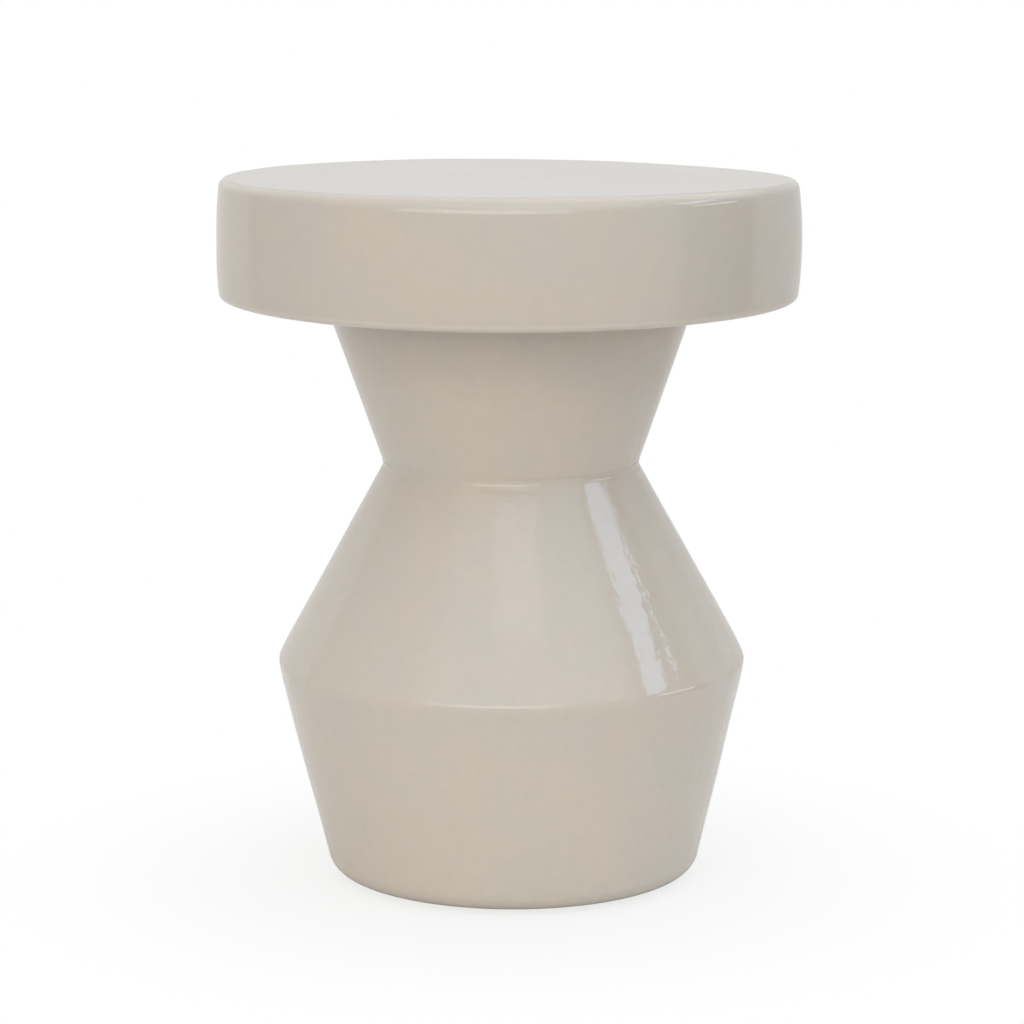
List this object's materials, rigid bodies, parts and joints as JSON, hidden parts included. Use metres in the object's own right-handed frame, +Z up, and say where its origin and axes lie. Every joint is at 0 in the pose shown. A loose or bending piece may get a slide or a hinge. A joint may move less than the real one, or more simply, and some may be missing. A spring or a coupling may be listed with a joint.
{
  "type": "garden stool",
  "caption": "Round glazed ceramic garden stool: a thick drum seat on a hollow hourglass pedestal with a flared neck, an angular belly and a recessed foot.",
  "frame": {"origin": "on the floor, at the middle of the foot", "axes": "+Z up along the stool's axis; X and Y run between the foot pads, and the picture looks along +Y"},
  "size_m": [0.374, 0.374, 0.4525],
  "materials": {
    "glazed_stoneware": "glossy warm greige glaze over cast stoneware",
    "fired_slip": "fired slip, bare inside and under the same glaze outside",
    "felt": "pressed wool felt"
  },
  "bodies": {
    "root": {"seat_drum": "glazed_stoneware", "upper_pedestal": "glazed_stoneware", "lower_pedestal": "glazed_stoneware", "seat_slip_joint": "fired_slip", "waist_slip_joint": "fired_slip", "foot_pad_1": "felt", "foot_pad_2": "felt", "foot_pad_3": "felt", "foot_pad_4": "felt"}
  },
  "joints": []
}
